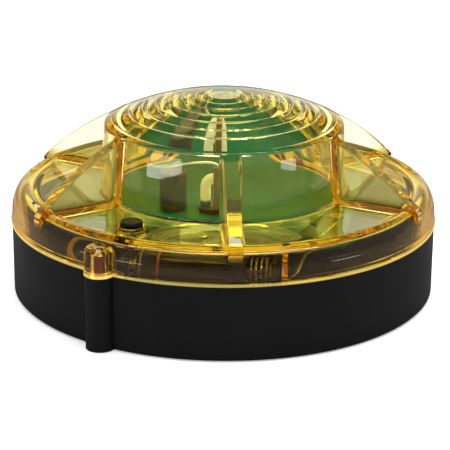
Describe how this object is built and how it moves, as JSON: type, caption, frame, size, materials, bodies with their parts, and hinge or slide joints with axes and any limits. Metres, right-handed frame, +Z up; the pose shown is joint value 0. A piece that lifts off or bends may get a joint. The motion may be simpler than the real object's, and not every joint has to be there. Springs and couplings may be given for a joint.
{
  "type": "barricade warning light",
  "caption": "Round battery strobe warning light: black cup base, clear amber lens with stepped dome and radial fins, push button, flasher board and one battery cell inside.",
  "frame": {"origin": "centre of the flat underside of the base", "axes": "+Z up through the dome, -Y towards the front, where the flat ring carries the button to the left of the front fin"},
  "size_m": [0.12, 0.12, 0.0556],
  "materials": {
    "black_shell": "fine satin moulding",
    "amber_lens": "polished clear amber",
    "seal_rubber": "matt",
    "screw_steel": "zinc plated",
    "board_green": "green solder mask",
    "tube_glass": "frosted",
    "contact_metal": "nickel plated",
    "brown_insulator": "phenolic",
    "tinned_wire": "tinned",
    "coil_varnish": "varnished",
    "ferrite": "sintered",
    "yellow_tape": "polyester tape",
    "brown_sleeve": "shrink sleeve",
    "dark_sleeve": "shrink sleeve",
    "black_component": "moulded",
    "resistor_body": "lacquered",
    "cell_jacket": "printed foil jacket",
    "yellow_wire": "PVC insulation",
    "red_wire": "PVC insulation",
    "button_black": "matt",
    "plunger_red": "moulded"
  },
  "bodies": {
    "base": {"base_shell": "black_shell", "lens_gasket": "seal_rubber", "lens_screws": "screw_steel", "circuit_board": "board_green", "board_screws": "screw_steel", "flash_tube": "tube_glass", "tube_electrodes": "contact_metal", "tube_socket": "brown_insulator", "trigger_post": "brown_insulator", "trigger_lead": "tinned_wire", "trigger_coil": "coil_varnish", "transformer_core": "ferrite", "transformer_winding": "yellow_tape", "upright_capacitor": "brown_sleeve", "storage_capacitor": "dark_sleeve", "film_capacitors": "coil_varnish", "power_transistor": "black_component", "resistors": "resistor_body", "diodes": "black_component", "battery_cell": "cell_jacket", "cell_holder": "black_component", "holder_screws": "screw_steel", "spring_contact": "contact_metal", "plate_contacts": "contact_metal", "positive_lead": "yellow_wire", "negative_lead": "yellow_wire", "capacitor_leads": "red_wire", "switch_board": "board_green", "switch_body": "black_component", "switch_leads": "red_wire"},
    "lens": {"lens": "amber_lens", "button_seal": "seal_rubber"},
    "button": {"push_button": "button_black", "button_clip": "contact_metal"},
    "plunger": {"switch_plunger": "plunger_red"}
  },
  "joints": [
    {"name": "lens_lift", "type": "slide", "parent": "base", "child": "lens", "axis": [0, 0, 1], "range_m": [0, 0.045]},
    {"name": "button_press", "type": "slide", "parent": "lens", "child": "button", "axis": [0, 0, -1], "range_m": [0, 0.0012], "stiffness_N_per_m": 900, "springref_m": -0.001},
    {"name": "plunger_press", "type": "slide", "parent": "base", "child": "plunger", "axis": [0, 0, -1], "range_m": [0, 0.0012]}
  ],
  "couplings": [
    {"joint": "plunger_press", "follows": "button_press", "ratio": 1}
  ]
}
